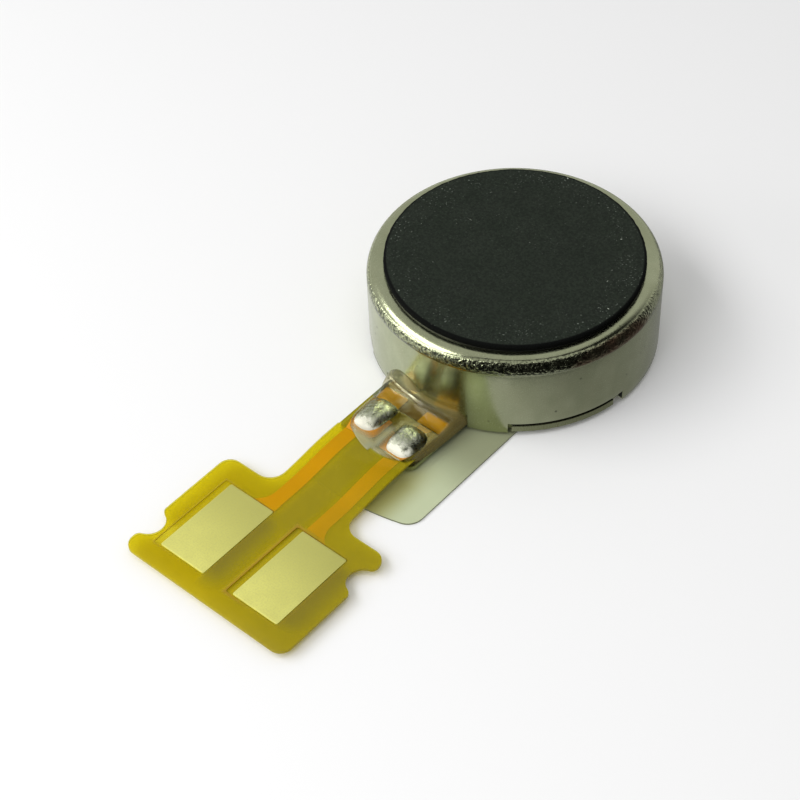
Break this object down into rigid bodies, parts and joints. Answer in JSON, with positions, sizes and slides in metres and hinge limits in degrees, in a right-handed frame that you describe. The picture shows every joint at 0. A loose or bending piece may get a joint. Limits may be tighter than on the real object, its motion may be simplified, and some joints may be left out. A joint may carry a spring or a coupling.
{
  "type": "coin vibration motor",
  "caption": "Flat coin vibration motor with a foam pad, an adhesive mounting face with its release liner, and a flexible printed tail with contact pads.",
  "frame": {"origin": "centre of the release liner's underside, on the rotor's axis, where the motor lies on a surface", "axes": "+Z along the rotor's axis, from the adhesive face to the foam pad; the tail points to -Y; +X is to the right, seen from above with the tail towards the viewer"},
  "size_m": [0.01, 0.0205, 0.0036],
  "materials": {
    "nickel_case": "semi-gloss nickel plate on pressed steel",
    "stainless_base": "semi-gloss stamped sheet",
    "polished_steel": "ground and polished",
    "foam": "fine-celled foam, matt, with light specks",
    "foam_adhesive": "thin black adhesive film",
    "adhesive_tape": "satin double-sided tape",
    "liner_film": "smooth silicone-coated film",
    "polyimide": "satin amber film",
    "polyimide_cover": "satin translucent amber film",
    "magnet": "nickel-plated sintered magnet",
    "washer_sheet": "satin low-friction film",
    "bronze": "oiled sintered bronze",
    "board": "glass-epoxy board with green mask",
    "brush_alloy": "spring alloy, bright",
    "gold_plate": "pale gold plate, satin",
    "winding": "enamelled copper wire",
    "tungsten": "sintered tungsten alloy, satin",
    "resin": "moulded black resin",
    "copper_foil": "copper foil under an amber film",
    "solder": "bright tin solder",
    "clear_glue": "clear cured glue, glossy"
  },
  "bodies": {
    "stator": {"case_cup": "nickel_case", "base_plate": "stainless_base", "shaft": "polished_steel", "foam_pad": "foam", "foam_adhesive": "foam_adhesive", "mounting_tape": "adhesive_tape", "stator_flex": "polyimide", "tail_film_root": "polyimide", "cover_film_root": "polyimide_cover", "ring_magnet": "magnet", "lower_washer": "washer_sheet", "upper_washer": "washer_sheet", "terminal_pad_left": "copper_foil", "terminal_pad_right": "copper_foil", "trace_root_left": "copper_foil", "trace_root_right": "copper_foil", "solder_joint_left": "solder", "solder_joint_right": "solder", "glue_bead": "clear_glue"},
    "rotor": {"bearing": "bronze", "rotor_board": "board", "commutator_segment_1": "gold_plate", "commutator_segment_2": "gold_plate", "commutator_segment_3": "gold_plate", "commutator_segment_4": "gold_plate", "commutator_segment_5": "gold_plate", "commutator_segment_6": "gold_plate", "coil_1": "winding", "coil_2": "winding", "counterweight": "tungsten", "rotor_resin": "resin"},
    "tail": {"tail_film_head": "polyimide", "cover_film_head": "polyimide_cover", "trace_head_left": "copper_foil", "trace_head_right": "copper_foil", "contact_pad_left": "gold_plate", "contact_pad_right": "gold_plate"},
    "liner": {"release_liner": "liner_film"},
    "brush_left": {"brush_left": "brush_alloy"},
    "brush_right": {"brush_right": "brush_alloy"}
  },
  "joints": [
    {"name": "rotor_spin", "type": "hinge", "parent": "stator", "child": "rotor", "pos_m": [0, 0, 0.0015], "axis": [0, 0, 1], "continuous": true},
    {"name": "tail_bend", "type": "hinge", "parent": "stator", "child": "tail", "pos_m": [0, -0.0092, 0.00031], "axis": [-1, 0, 0], "range_deg": [-2, 120], "stiffness_Nm_per_rad": 0.0003},
    {"name": "liner_pull", "type": "slide", "parent": "stator", "child": "liner", "axis": [0, -1, 0], "range_m": [0, 0.021]},
    {"name": "brush_left_flex", "type": "hinge", "parent": "stator", "child": "brush_left", "pos_m": [-0.00117, -0.00115, 0.00044], "axis": [-1, 0, 0], "range_deg": [0, 4], "stiffness_Nm_per_rad": 0.0005},
    {"name": "brush_right_flex", "type": "hinge", "parent": "stator", "child": "brush_right", "pos_m": [0.00117, -0.00115, 0.00044], "axis": [-1, 0, 0], "range_deg": [0, 4], "stiffness_Nm_per_rad": 0.0005}
  ]
}
